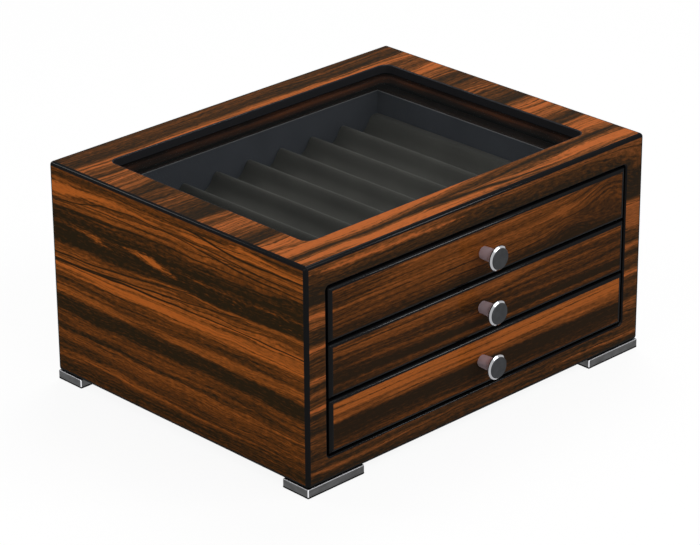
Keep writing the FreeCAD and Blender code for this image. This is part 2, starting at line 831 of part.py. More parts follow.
nodes = [
    front_frame(),
    back_panel(),
    bottom_panel(screw_holes("bottom_panel", foot_screw_spots, FOOT_SCREW)),
    side_panel("left", runner_screw_set("left", play=True)),
    side_panel("right", runner_screw_set("right", play=True)),
    top_panel(screw_holes("top_panel", retainer_spots(), RETAINER_SCREW)),
    window_glass(),
    glass_retainer(screw_holes("glass_retainer", retainer_spots(), RETAINER_SCREW)),
    group("retainer_screws", screws("retainer_screw", retainer_spots(), RETAINER_SCREW)),
    group("foot_screws", screws("foot_screw", foot_screw_spots, FOOT_SCREW)),
    group("runner_screws", runner_screw_set("left", play=False) + runner_screw_set("right", play=False)),
    bumpers(),
]
for side, end in CORNERS:
    nodes.append(foot(side, end))
pads = [
    foot_block(f"pad_{end}_{side}", side, end, "pad_inset", "0", "pad_thickness")
    for side, end in CORNERS
]
nodes.append(group("foot_pads", pads))
for level, position in enumerate(DRAWERS):
    nodes += drawer(level, position)
    nodes += [runner(level, position, side) for side in SIDES]

for node in nodes:
    node.Label = node.Name
doc.recompute()

for item in doc.Objects:
    if "Invalid" in item.State or "Error" in item.State:
        raise SystemExit(f"{item.Name} did not build: {item.State}")
for node in nodes:
    if node.Shape.isNull() or not node.Shape.isValid():
        raise SystemExit(f"{node.Name} has no valid shape")
    node.Shape.exportStep(f"parts/{node.Label}.step")
    solids, box = len(node.Shape.Solids), node.Shape.BoundBox
    low = f"{box.XMin:.1f} {box.YMin:.1f} {box.ZMin:.1f}"
    high = f"{box.XMax:.1f} {box.YMax:.1f} {box.ZMax:.1f}"
    print(f"{node.Label}: {solids} solid(s), {node.Shape.Volume:.0f} mm3, {low} to {high}")
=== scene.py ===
"""The looks of a pen collector chest: striped ebony veneer under lacquer, glass, suede and metal.

Blender's metres are the frame's own. Materials count in millimetres, as the chest's sizes do.
"""

import math

import bpy
from mathutils import Matrix, Vector, noise


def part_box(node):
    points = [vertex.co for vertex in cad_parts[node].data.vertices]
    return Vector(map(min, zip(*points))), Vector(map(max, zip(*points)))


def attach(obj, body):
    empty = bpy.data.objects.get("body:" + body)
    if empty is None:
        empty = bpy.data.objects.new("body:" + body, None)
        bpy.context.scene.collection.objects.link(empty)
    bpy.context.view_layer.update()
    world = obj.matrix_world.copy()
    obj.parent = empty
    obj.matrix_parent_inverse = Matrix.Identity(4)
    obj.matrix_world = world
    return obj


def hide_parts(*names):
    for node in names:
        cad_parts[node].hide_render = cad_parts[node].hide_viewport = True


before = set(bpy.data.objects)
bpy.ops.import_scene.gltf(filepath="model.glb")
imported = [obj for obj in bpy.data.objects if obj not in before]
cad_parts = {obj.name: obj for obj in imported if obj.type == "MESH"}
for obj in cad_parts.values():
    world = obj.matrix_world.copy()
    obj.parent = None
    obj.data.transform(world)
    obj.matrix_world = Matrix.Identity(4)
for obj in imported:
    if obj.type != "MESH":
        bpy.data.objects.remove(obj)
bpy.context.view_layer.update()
scene = bpy.context.scene
scene.view_settings.view_transform = "Standard"

MM = 1000.0  # millimetres in a metre

# Sizes in millimetres that the chest's own source also names.
CASE_EDGE = 3.0
WINDOW_MARGIN = 32.5
WINDOW_CORNER = 7.5
WINDOW_EDGE = 1.0
STILE = 20.0
TOP_RAIL = 20.8
BOTTOM_RAIL = 19.4
FRAME_EDGE = 1.8
FRAME_CORNER = 3.0
DRAWER_EDGE = 3.0
PEN_RADIUS = 14.0
PEN_DEPTH = 13.0
PEN_PITCH = 34.5
LINING_THICKNESS = 1.0
KNOB_RIM = 0.9
KNOB_BEVEL = 1.8
FOOT_EDGE = 0.8
PAD_INSET = 1.2
BUMPER_RADIUS = 5.0

DRAWERS = ("bottom", "middle", "top")
PEN_GROOVES = 8


def box(node):
    """The lowest and highest corners of a CAD node in millimetres."""
    low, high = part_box(node)
    return low * MM, high * MM


case_low = Vector((box("left_side")[0].x, box("front_frame")[0].y, box("bottom_panel")[0].z))
case_high = Vector((box("right_side")[1].x, box("back_panel")[1].y, box("top_panel")[1].z))
case_middle = (case_low + case_high) / 2
case_half = (case_high - case_low) / 2
case_length, case_depth, case_height = case_half * 2


# Fields: numbers and colours that vary over a surface

def plug(tree, socket, value):
    """Give an input a field or a plain value."""
    if isinstance(value, Field):
        tree.links.new(value.socket, socket)
    else:
        socket.default_value = value


def made(tree, kind, inputs=(), output=0, **settings):
    """A new node's output as a field."""
    node = tree.nodes.new(kind)
    for setting, value in settings.items():
        setattr(node, setting, value)
    for key, value in dict(inputs).items():
        plug(tree, node.inputs[key], value)
    return Field(tree, node.outputs[output])


class Field:
    """An output of a material's node tree, which sums and products can be written with."""

    def __init__(self, tree, socket):
        self.tree, self.socket = tree, socket

    def math(self, operation, *values, clamp=False):
        """The result of an operation on the given values, in this field's tree."""
        inputs = dict(enumerate(values))
        return made(self.tree, "ShaderNodeMath", inputs, operation=operation, use_clamp=clamp)

    def __add__(self, other):
        return self.math("ADD", self, other)

    def __radd__(self, other):
        return self.math("ADD", other, self)

    def __sub__(self, other):
        return self.math("SUBTRACT", self, other)

    def __rsub__(self, other):
        return self.math("SUBTRACT", other, self)

    def __mul__(self, other):
        return self.math("MULTIPLY", self, other)

    def __truediv__(self, other):
        return self.math("DIVIDE", self, other)

    def __abs__(self):
        return self.math("ABSOLUTE", self)

    def least(self, other):
        """The lesser of this and another."""
        return self.math("MINIMUM", self, other)

    def most(self, other):
        """The greater of this and another."""
        return self.math("MAXIMUM", self, other)

    def clamped(self):
        """This field, held between 0 and 1."""
        return self.math("ADD", self, 0.0, clamp=True)

    def rise(self, low, high):
        """0 below one value, 1 above another, smooth in between."""
        inputs = {"Value": self, "From Min": low, "From Max": high}
        return made(self.tree, "ShaderNodeMapRange", inputs, interpolation_type="SMOOTHSTEP")

    def ramp(self, stops, curve="LINEAR"):
        """The colour or tone at this field's value, between the stops' colours or tones."""
        node = self.tree.nodes.new("ShaderNodeValToRGB")
        node.color_ramp.interpolation = curve
        elements = node.color_ramp.elements
        ready = len(elements)
        for index, (place, colour) in enumerate(stops):
            element = elements[index] if index < ready else elements.new(place)
            element.position = place
            rgb = colour if isinstance(colour, tuple) else (colour,) * 3
            element.color = (*rgb, 1.0)
        plug(self.tree, node.inputs[0], self)
        return Field(self.tree, node.outputs[0])

    def mix(self, low, high):
        """One colour where this field is 0, another where it is 1."""
        node = self.tree.nodes.new("ShaderNodeMix")
        node.data_type = "RGBA"
        plug(self.tree, node.inputs[0], self)
        for socket, value in zip((node.inputs[6], node.inputs[7]), (low, high)):
            plug(self.tree, socket, (*value, 1.0) if isinstance(value, tuple) else value)
        return Field(self.tree, node.outputs[2])


def seen(red, green, blue):
    """A colour as it is seen on a screen, 0 to 255, in the shader's linear values."""
    return tuple(
        c / 12.92 if c <= 0.04045 else ((c + 0.055) / 1.055) ** 2.4
        for c in (red / 255, green / 255, blue / 255)
    )


class Finish:
    """A material, with its place fields x, y and z in millimetres.

    A place divided by a number and given to mottle makes features of that many millimetres.
    """

    def __init__(self, name, **constants):
        self.material = bpy.data.materials.new(name)
        self.material.use_nodes = True
        self.tree = self.material.node_tree
        self.shader = self.tree.nodes["Principled BSDF"]
        place = made(self.tree, "ShaderNodeTexCoord", output="Object")
        scaled = made(
            self.tree, "ShaderNodeVectorMath", {0: place, "Scale": MM}, operation="SCALE"
        )
        split = made(self.tree, "ShaderNodeSeparateXYZ", {0: scaled})
        self.x, self.y, self.z = (Field(self.tree, s) for s in split.socket.node.outputs)
        for key, value in constants.items():
            self.set(key.replace("_", " ").title().replace("Ior", "IOR"), value)

    def set(self, socket, value):
        """Give one of the shader's inputs a field or a plain value."""
        if isinstance(value, tuple) and len(value) == 3:
            value = (*value, 1.0)
        plug(self.tree, self.shader.inputs[socket], value)

    def mottle(self, x, y, z, detail=2.0):
        """Noise around 0 whose features are about one unit of the given coordinates."""
        place = made(self.tree, "ShaderNodeCombineXYZ", {0: x, 1: y, 2: z})
        inputs = {"Vector": place, "Scale": 1.0, "Detail": detail}
        return made(self.tree, "ShaderNodeTexNoise", inputs) - 0.5

    def bump(self, height, millimetres):
        """Shade the surface as if a field from 0 to 1 raised it."""
        inputs = {"Height": height, "Strength": 1.0, "Distance": millimetres / MM}
        self.set("Normal", made(self.tree, "ShaderNodeBump", inputs))


# Veneer. Tones run from 0, ebony's black heartwood, to 1, its brightest orange stripe.

EBONY, DUSK, BROWN, AMBER, FLAME = 0.0, 0.2, 0.45, 0.7, 1.0


def wood(*colours):
    """A ramp through the colours of the five tones, the darkest first."""
    return tuple(zip((EBONY, DUSK, BROWN, AMBER, FLAME), (seen(*colour) for colour in colours)))


CASE_WOOD = wood((35, 27, 18), (57, 36, 18), (86, 50, 23), (122, 69, 33), (164, 88, 42))
SIDE_WOOD = wood((38, 27, 10), (66, 39, 13), (98, 53, 16), (134, 73, 25), (177, 93, 33))
DRAWER_WOOD = wood((36, 25, 14), (57, 34, 16), (90, 50, 20), (121, 67, 28), (154, 83, 34))
SIDE_GRIT = 1.1
DRAWER_GRIT = 0.85

# The grain's noises: features' length and width in millimetres, what the seed gains, detail.
WAVE = (120, 40, 0.0, 1.0)
RIPPLE = (30, 9, 2.0, 1.0)
FRAY = (5, 1.4, 3.0, 1.0)
BROAD = (150, 3.2, 4.0, 2.0)
STREAKS = (32, 1.2, 6.0, 2.0)
FIBRES = (6, 1.1, 8.0, 2.0)
RINGS = (300, 7.0, 10.0, 1.0)
VEINS = (240, 3.4, 16.0, 1.0)
FLECKS = (3, 1.0, 14.0, 2.0)

# How far the noises shift the figure, in shares of the board's width but for the fray's.
WAVE_SHIFT, RIPPLE_SHIFT, STROKE_SHIFT = 0.05, 0.02, 0.012
FRAY_MILLIMETRES = 1.2

# How much they lighten or darken its tone.
BROAD_TONE, STREAK_TONE, FIBRE_TONE = 0.3, 0.44, 0.8
RING_TONE, VEIN_TONE, FLECK_TONE = 0.4, 0.24, 0.25

# The levels of a noise from which its lines fade to nothing, and its flecks grow to their full.
RING_LINES, VEIN_LINES, FLECK_SPOTS = (0.01, 0.06), (0.01, 0.07), (0.1, 0.3)


def grain(finish, along, across, seed, kind):
    """One of the grain's noises, from the distances along and across it."""
    length, width, offset, detail = kind
    return finish.mottle(along / length, across / width, seed + offset, detail)


def hill(finish, u, v, middle, reach, height, tilt=0.0):
    """A smooth rise of the figure's level around one spot: it bends the bands there."""
    du, dv = u - middle[0], v - middle[1]
    lean = dv - du * tilt
    squares = (du / reach[0]) * (du / reach[0]) + (lean / reach[1]) * (lean / reach[1])
    return finish.x.math("POWER", math.e, 0.0 - squares) * height


def stroke(tone, u, v, fray, target, soft, path):
    """Draw the tone towards another along a path of places along and across and half widths."""
    margin = 0.01  # keeps the widths' ramp above 0 until it is taken off again
    middle = u.ramp([(along, across) for along, across, _ in path], "B_SPLINE")
    half = u.ramp([(along, spread + margin) for along, _, spread in path]) - margin
    cover = ((half - abs(v - middle)) / soft + fray).clamped()
    return tone + (target - tone) * cover


def figure(finish, along, across, size, bands, colours, seed, hills, strokes=(), grit=1.0):
    """The veneer's colour and relief from the distances along and across its grain."""
    length, width = size
    u, v = along / length, across / width
    wave = grain(finish, along, across, seed, WAVE) * WAVE_SHIFT
    ripple = grain(finish, along, across, seed, RIPPLE)
    fray = grain(finish, along, across, seed, FRAY)
    level = v + wave + ripple * RIPPLE_SHIFT + fray * (FRAY_MILLIMETRES / width)
    for spot in hills:
        level = level + hill(finish, u, v, *spot)
    depth = level * width
    broad, streaks, fibres, ring, vein, fleck = (
        grain(finish, along, depth, seed, kind)
        for kind in (BROAD, STREAKS, FIBRES, RINGS, VEINS, FLECKS)
    )
    lines = (1.0 - abs(ring).rise(*RING_LINES)) * RING_TONE
    lines = lines + (1.0 - abs(vein).rise(*VEIN_LINES)) * VEIN_TONE
    tone = level.ramp(bands) + broad * BROAD_TONE
    tone = tone - lines * (tone * 0.8 + 0.2)  # lines show most on bright wood
    bent = v + ripple * STROKE_SHIFT
    for target, soft, path in strokes:
        tone = stroke(tone, u, bent, fibres + streaks, target, soft, path)
    fine = streaks * STREAK_TONE + fibres * FIBRE_TONE
    fine = fine * (1.15 - tone.clamped() * 0.3) * grit  # and fine grain on dark wood
    tone = tone + fine - fleck.rise(*FLECK_SPOTS) * FLECK_TONE
    return tone.clamped().ramp(colours), fibres + streaks


BLACK_LACQUER = seen(10, 10, 11)
# The window's lip is greyer than the black lacquer: a painted sheen.
LIP_LACQUER_AND_SHEEN = seen(34, 34, 36)
VENEER_COAT = 0.05
BLACK_GLOSS = 0.08  # what black lacquer adds to the coat
DRAWER_GLOSS = 0.12
VENEER_RELIEF = 0.03
VENEER_DEPTH = 1.0
BORDER = 0.3  # the width over which veneer turns into black lacquer
EDGE_OVERLAP = 0.1  # how far black lacquer reaches past an edge's rounding


def lacquered(name):
    """A finish with a clear coat over a duller ground."""
    return Finish(
        name,
        roughness=0.4,
        specular_ior_level=0.0,
        coat_weight=VENEER_COAT,
        coat_roughness=0.07,
        coat_ior=1.5,
    )


def black_parts(finish, colour, black, relief, lacquer=BLACK_LACQUER, gloss=BLACK_GLOSS):
    """Cover a veneer with black lacquer where a field is 1."""
    finish.set("Base Color", black.mix(colour, lacquer))
    finish.set("Coat Weight", black * gloss + VENEER_COAT)
    finish.bump(relief * (1.0 - black), VENEER_RELIEF)


def past_edge(distance, radius):
    """0 on an edge's rounding, 1 beyond it."""
    return distance.rise(radius - BORDER, radius + EDGE_OVERLAP)


def case_black(finish):
    """Where a case board is black: its rounded outer edges and all that lies inside."""
    depths = (
        case_half.x - abs(finish.x),
        case_half.y - abs(finish.y - case_middle.y),
        case_half.z - abs(finish.z - case_middle.z),
    )
    nearest = depths[0].least(depths[1]).least(depths[2])
    farthest = depths[0].most(depths[1]).most(depths[2])
    second = depths[0] + depths[1] + depths[2] - nearest - farthest
    outer_edges = 1.0 - past_edge(second, CASE_EDGE)
    return outer_edges.most(nearest.rise(VENEER_DEPTH, VENEER_DEPTH + BORDER))


def outside(a, b, half_a, half_b, corner):
    """The distance from a rectangle with round corners, negative inside it."""
    qa, qb = abs(a) - (half_a - corner), abs(b) - (half_b - corner)
    inner = qa.most(qb).least(0.0)
    outer_a, outer_b = qa.most(0.0), qb.most(0.0)
    reach = outer_a * outer_a + outer_b * outer_b
    return reach.math("SQRT", reach) + inner - corner


def from_left(finish):
    """The distance from the case's left face."""
    return finish.x - case_low.x


def from_back(finish):
    """The distance from the case's back face."""
    return case_high.y - finish.y


def from_top(finish):
    """The distance from the case's top face."""
    return case_high.z - finish.z


# The boards' figures, in shares of each board's length along the grain and width across it.
# Bands: places across the grain with their tones.
# Hills: the middle, the reach along and across, the height and the tilt.
# Strokes: the tone, the edge's softness, and a path of places along and across and half widths.

VEIN, FEATHER, SOFT_FEATHER = 0.0035, 0.014, 0.024  # softness of the left side's strokes

LEFT_BANDS = (
    (0.035, BROWN), (0.05, DUSK), (0.065, AMBER), (0.1, FLAME), (0.135, AMBER), (0.165, AMBER),
    (0.19, BROWN), (0.21, DUSK), (0.235, EBONY), (0.262, DUSK), (0.285, EBONY), (0.326, EBONY),
    (0.34, AMBER), (0.4, AMBER), (0.43, FLAME), (0.485, FLAME), (0.51, BROWN), (0.545, BROWN),
    (0.575, AMBER), (0.608, AMBER), (0.622, DUSK), (0.64, EBONY), (0.675, EBONY), (0.7, BROWN),
    (0.755, BROWN), (0.77, DUSK), (0.785, AMBER), (0.83, BROWN), (0.87, BROWN), (0.9, AMBER),
    (0.93, DUSK),
)
LEFT_HILLS = (
    ((0.85, 0.12), (0.35, 0.06), 0.045),
    ((0.0, 0.39), (0.45, 0.06), -0.035),
    ((1.0, 0.38), (0.3, 0.04), 0.02),
)
LEFT_STROKES = (
    (FLAME, SOFT_FEATHER, (
        (0.06, 0.26, 0.0), (0.13, 0.266, 0.012), (0.19, 0.278, 0.024), (0.26, 0.303, 0.0),
    )),
    (FLAME, SOFT_FEATHER, (
        (0.26, 0.252, 0.0), (0.33, 0.256, 0.016), (0.42, 0.27, 0.032), (0.53, 0.303, 0.0),
    )),
    (AMBER, FEATHER, (
        (0.5, 0.262, 0.0), (0.62, 0.268, 0.004), (0.85, 0.262, 0.005), (1.0, 0.262, 0.004),
    )),
    (AMBER, FEATHER, (
        (0.46, 0.245, 0.0), (0.6, 0.272, 0.004), (0.7, 0.285, 0.003), (0.8, 0.285, 0.0),
    )),
    (FLAME, FEATHER, (
        (0.68, 0.042, 0.0), (0.76, 0.04, 0.016), (0.83, 0.046, 0.014), (0.88, 0.052, 0.0),
    )),
    (FLAME, FEATHER, (
        (0.0, 0.11, 0.035), (0.08, 0.105, 0.03), (0.18, 0.08, 0.014), (0.32, 0.07, 0.0),
    )),
    (EBONY, VEIN, (
        (0.0, 0.165, 0.003), (0.1, 0.155, 0.004), (0.2, 0.11, 0.004), (0.36, 0.088, 0.004),
        (0.6, 0.115, 0.003), (1.0, 0.13, 0.003),
    )),
    (EBONY, VEIN, (
        (0.0, 0.2, 0.009), (0.2, 0.188, 0.009), (0.45, 0.165, 0.006), (0.65, 0.172, 0.004),
        (1.0, 0.165, 0.003),
    )),
    (EBONY, VEIN, (
        (0.0, 0.15, 0.0), (0.15, 0.142, 0.003), (0.3, 0.135, 0.004), (0.45, 0.14, 0.003),
        (0.6, 0.15, 0.0),
    )),
    (EBONY, VEIN, (
        (0.3, 0.11, 0.0), (0.5, 0.095, 0.003), (0.66, 0.1, 0.004), (0.85, 0.128, 0.004),
        (1.0, 0.118, 0.003),
    )),
    (EBONY, VEIN, (
        (0.45, 0.045, 0.0), (0.6, 0.05, 0.006), (0.72, 0.088, 0.007), (0.86, 0.088, 0.006),
        (1.0, 0.078, 0.004),
    )),
    (EBONY, VEIN, (
        (0.5, 0.1, 0.0), (0.66, 0.125, 0.006), (0.8, 0.15, 0.006), (1.0, 0.145, 0.004),
    )),
    (EBONY, VEIN, (
        (0.6, 0.195, 0.0), (0.75, 0.205, 0.005), (0.9, 0.195, 0.004), (1.0, 0.19, 0.003),
    )),
    (DUSK, VEIN, (
        (0.3, 0.235, 0.0), (0.36, 0.262, 0.003), (0.42, 0.292, 0.002), (0.45, 0.31, 0.0),
    )),
    (DUSK, VEIN, (
        (0.1, 0.245, 0.0), (0.15, 0.27, 0.003), (0.19, 0.295, 0.002), (0.21, 0.31, 0.0),
    )),
    (EBONY, VEIN, (
        (0.0, 0.417, 0.005), (0.18, 0.407, 0.005), (0.31, 0.386, 0.005), (0.43, 0.364, 0.005),
        (0.57, 0.336, 0.003), (0.7, 0.33, 0.0),
    )),
    (EBONY, VEIN, (
        (0.0, 0.454, 0.007), (0.14, 0.44, 0.007), (0.31, 0.421, 0.005), (0.45, 0.4, 0.005),
        (0.58, 0.383, 0.004), (0.72, 0.357, 0.004), (0.85, 0.334, 0.0),
    )),
    (EBONY, VEIN, (
        (0.0, 0.45, 0.008), (0.27, 0.436, 0.007), (0.5, 0.421, 0.005), (0.75, 0.414, 0.004),
        (1.0, 0.417, 0.005),
    )),
    (DUSK, VEIN, (
        (0.5, 0.49, 0.0), (0.65, 0.492, 0.003), (0.8, 0.505, 0.002), (0.9, 0.505, 0.0),
    )),
)

# The right side and the back, which the photograph doesn't show, share their bands.
HIDDEN_BANDS = (
    (0.0, DUSK), (0.05, BROWN), (0.09, AMBER), (0.13, BROWN), (0.17, FLAME), (0.21, AMBER),
    (0.25, DUSK), (0.3, EBONY), (0.34, DUSK), (0.37, AMBER), (0.42, FLAME), (0.47, BROWN),
    (0.52, AMBER), (0.56, DUSK), (0.6, EBONY), (0.66, EBONY), (0.7, BROWN), (0.75, AMBER),
    (0.8, BROWN), (0.84, DUSK), (0.89, AMBER), (0.93, BROWN), (1.0, DUSK),
)
RIGHT_HILLS = (
    ((0.62, 0.3), (0.2, 0.05), 0.045, -0.1),
    ((0.3, 0.62), (0.16, 0.05), -0.04, 0.1),
    ((0.1, 0.15), (0.3, 0.06), 0.03),
)
BACK_HILLS = (
    ((0.2, 0.45), (0.16, 0.06), 0.05, 0.08),
    ((0.75, 0.2), (0.2, 0.05), -0.04, -0.06),
    ((0.9, 0.75), (0.25, 0.07), 0.045),
)


def board_finish(name, from_end, size, bands, colours, seed, hills, strokes=(), grit=1.0):
    """The veneer of an upright board of the case, whose grain runs level from one end."""
    finish = lacquered(name)
    along, across = from_end(finish), from_top(finish)
    colour, relief = figure(
        finish, along, across, size, bands, colours, seed, hills, strokes, grit
    )
    black_parts(finish, colour, case_black(finish), relief)
    return finish.material


def side_finish(name, bands, seed, hills, strokes=()):
    """A side's veneer, its grain running from the back to the front."""
    size = (case_depth, case_height)
    return board_finish(
        name, from_back, size, bands, SIDE_WOOD, seed, hills, strokes, SIDE_GRIT
    )


def back_finish():
    """The back's veneer, its grain running from left to right."""
    size = (case_length, case_height)
    return board_finish(
        "back_veneer", from_left, size, HIDDEN_BANDS, CASE_WOOD, seed=87.0, hills=BACK_HILLS
    )


def bottom_finish():
    """The underside: plain black lacquer over open grain."""
    finish = lacquered("underside")
    pores = finish.mottle(finish.x / 9, finish.y / 0.6, 3.0)
    finish.set("Base Color", (pores * 2 + 0.5).clamped().mix(seen(12, 12, 12), seen(24, 22, 20)))
    finish.bump(pores, 0.05)
    return finish.material


TOP_BANDS = (
    (0.0, DUSK), (0.04, BROWN), (0.07, DUSK), (0.088, DUSK), (0.107, FLAME), (0.13, FLAME),
    (0.145, BROWN), (0.165, AMBER), (0.182, BROWN), (0.195, FLAME), (0.232, FLAME),
    (0.245, AMBER), (0.3, AMBER), (0.32, DUSK), (0.345, DUSK), (0.365, BROWN), (0.41, BROWN),
    (0.43, AMBER), (0.455, AMBER), (0.47, BROWN), (0.505, BROWN), (0.52, DUSK), (0.572, EBONY),
    (0.592, AMBER), (0.64, FLAME), (0.74, AMBER), (0.765, DUSK), (0.8, DUSK), (0.82, FLAME),
    (0.895, FLAME), (0.925, DUSK), (0.95, FLAME),
)
TOP_HILLS = (
    ((0.0, 0.9), (0.35, 0.06), -0.02),
    ((1.0, 0.86), (0.35, 0.08), 0.025),
    ((0.5, 0.12), (0.5, 0.04), 0.01),
)
TOP_STROKES = (
    (FLAME, 0.008, (
        (0.0, 0.905, 0.016), (0.25, 0.9, 0.02), (0.45, 0.895, 0.012), (0.55, 0.89, 0.0),
    )),
    (FLAME, 0.008, (
        (0.0, 0.966, 0.012), (0.3, 0.968, 0.012), (0.6, 0.974, 0.005), (0.68, 0.978, 0.0),
    )),
    (FLAME, 0.008, (
        (0.7, 0.945, 0.0), (0.82, 0.945, 0.014), (0.92, 0.95, 0.018), (1.0, 0.955, 0.018),
    )),
    (EBONY, 0.008, (
        (0.0, 0.94, 0.005), (0.3, 0.942, 0.008), (0.46, 0.945, 0.012), (0.6, 0.966, 0.009),
        (0.7, 0.976, 0.006), (0.8, 0.98, 0.0),
    )),
    (EBONY, 0.008, (
        (0.46, 0.945, 0.0), (0.56, 0.936, 0.007), (0.66, 0.92, 0.008), (0.76, 0.907, 0.009),
        (1.0, 0.902, 0.008),
    )),
    (DUSK, 0.008, (
        (0.5, 0.93, 0.0), (0.58, 0.91, 0.009), (0.64, 0.896, 0.006), (0.7, 0.89, 0.0),
    )),
    (EBONY, 0.004, ((0.78, 0.93, 0.0), (0.86, 0.926, 0.002), (1.0, 0.94, 0.003))),
    (FLAME, 0.006, (
        (0.3, 0.105, 0.0), (0.6, 0.095, 0.004), (0.9, 0.088, 0.005), (1.0, 0.085, 0.005),
    )),
    (EBONY, 0.004, (
        (0.1, 0.085, 0.0), (0.4, 0.08, 0.003), (0.8, 0.068, 0.004), (1.0, 0.066, 0.003),
    )),
)


def top_finish():
    """The top's veneer: one sheet across all four rails, grain from left to right."""
    finish = lacquered("top_veneer")
    colour, relief = figure(
        finish, from_left(finish), from_back(finish), (case_length, case_depth),
        TOP_BANDS, CASE_WOOD, seed=31.0, hills=TOP_HILLS, strokes=TOP_STROKES,
    )
    gap = outside(
        finish.x,
        finish.y - case_middle.y,
        case_half.x - WINDOW_MARGIN,
        case_half.y - WINDOW_MARGIN,
        WINDOW_CORNER,
    )
    lip = 1.0 - gap.rise(WINDOW_EDGE, WINDOW_EDGE + BORDER)
    # The lip's greyer lacquer is a painted sheen.
    lacquer = lip.mix(BLACK_LACQUER, LIP_LACQUER_AND_SHEEN)
    black_parts(finish, colour, case_black(finish).most(lip), relief, lacquer)
    return finish.material


FRAME_BANDS = (
    (0.0, BROWN), (0.03, AMBER), (0.055, BROWN), (0.075, DUSK), (0.12, EBONY), (0.165, EBONY),
    (0.18, AMBER), (0.23, FLAME), (0.28, FLAME), (0.3, DUSK), (0.35, DUSK), (0.365, FLAME),
    (0.405, AMBER), (0.42, DUSK), (0.46, BROWN), (0.485, DUSK), (0.52, FLAME), (0.545, DUSK),
    (0.59, AMBER), (0.62, DUSK), (0.65, FLAME), (0.68, DUSK), (0.72, BROWN), (0.755, EBONY),
    (0.79, AMBER), (0.83, BROWN), (0.86, DUSK), (0.9, BROWN), (0.925, DUSK), (0.945, AMBER),
    (0.97, DUSK), (1.0, DUSK),
)
FRAME_HILLS = (
    ((1.0, 0.24), (0.12, 0.14), -0.12),
    ((0.6, 0.04), (0.3, 0.03), 0.015),
    ((0.35, 0.95), (0.4, 0.04), 0.015),
)
FRAME_STROKES = (
    (FLAME, 0.012, (
        (0.0, 0.04, 0.0), (0.08, 0.042, 0.012), (0.3, 0.046, 0.014), (0.5, 0.055, 0.0),
    )),
    (DUSK, 0.02, ((0.5, 0.07, 0.0), (0.65, 0.06, 0.03), (0.85, 0.06, 0.03), (0.93, 0.07, 0.0))),
    (EBONY, 0.02, ((0.92, 0.23, 0.0), (0.94, 0.23, 0.07), (1.0, 0.235, 0.07))),
    (AMBER, 0.03, ((0.92, 0.37, 0.0), (0.94, 0.375, 0.07), (1.0, 0.385, 0.075))),
    (DUSK, 0.01, ((0.92, 0.48, 0.0), (0.94, 0.48, 0.01), (1.0, 0.485, 0.012))),
    (DUSK, 0.01, ((0.92, 0.56, 0.0), (0.94, 0.56, 0.012), (1.0, 0.57, 0.01))),
)
FRAME_BLACK = FRAME_EDGE - 0.5  # the black rim around the drawers stops within the rounding


def frame_finish():
    """The front frame's veneer, its grain running from left to right."""
    finish = lacquered("frame_veneer")
    colour, relief = figure(
        finish, from_left(finish), from_top(finish), (case_length, case_height),
        FRAME_BANDS, CASE_WOOD, seed=53.0, hills=FRAME_HILLS, strokes=FRAME_STROKES,
    )
    opening_low, opening_high = case_low.z + BOTTOM_RAIL, case_high.z - TOP_RAIL
    gap = outside(
        finish.x,
        finish.z - (opening_low + opening_high) / 2,
        case_half.x - STILE,
        (opening_high - opening_low) / 2,
        FRAME_CORNER,
    )
    rim = 1.0 - gap.rise(FRAME_BLACK, FRAME_BLACK + BORDER)
    black_parts(finish, colour, case_black(finish).most(rim), relief)
    return finish.material


# Every front's bands end in ebony at its bottom edge: partly the grain, partly painted shade.
DRAWER_BANDS_AND_SHADE = {
    "top": (
        (0.0, BROWN), (0.12, AMBER), (0.3, BROWN), (0.42, AMBER), (0.55, BROWN), (0.7, BROWN),
        (0.82, DUSK), (1.0, EBONY),
    ),
    "middle": (
        (0.0, BROWN), (0.15, AMBER), (0.32, BROWN), (0.5, DUSK), (0.6, BROWN), (0.74, EBONY),
        (0.82, EBONY), (0.87, BROWN), (0.92, DUSK), (1.0, EBONY),
    ),
    "bottom": (
        (0.0, AMBER), (0.1, FLAME), (0.32, FLAME), (0.42, AMBER), (0.5, EBONY), (0.72, EBONY),
        (0.8, DUSK), (0.9, BROWN), (1.0, EBONY),
    ),
}
DRAWER_HILLS = {
    "top": (
        ((0.8, 0.75), (0.07, 0.3), 0.12),
        ((0.95, 0.2), (0.1, 0.4), 0.3),
    ),
    "middle": (
        ((0.0, 0.6), (0.3, 0.3), 0.1),
    ),
    "bottom": (
        ((1.0, 0.5), (0.25, 0.2), -0.08),
    ),
}
DRAWER_STROKES = {
    "top": (
        (AMBER, 0.1, ((0.7, 0.35, 0.0), (0.78, 0.35, 0.15), (0.84, 0.3, 0.0))),
        (DUSK, 0.1, ((0.78, 0.6, 0.0), (0.86, 0.5, 0.15), (0.92, 0.65, 0.2), (1.0, 0.7, 0.1))),
    ),
    "middle": (
        (AMBER, 0.03, (
            (0.2, 0.86, 0.0), (0.35, 0.875, 0.008), (0.6, 0.87, 0.012), (1.0, 0.84, 0.012),
        )),
    ),
    "bottom": (
        (EBONY, 0.1, ((0.25, 0.47, 0.0), (0.4, 0.44, 0.04), (0.5, 0.4, 0.02), (0.56, 0.37, 0.0))),
    ),
}
DRAWER_END_BLACK = 0.7  # how much wider the black rim is at a drawer front's ends


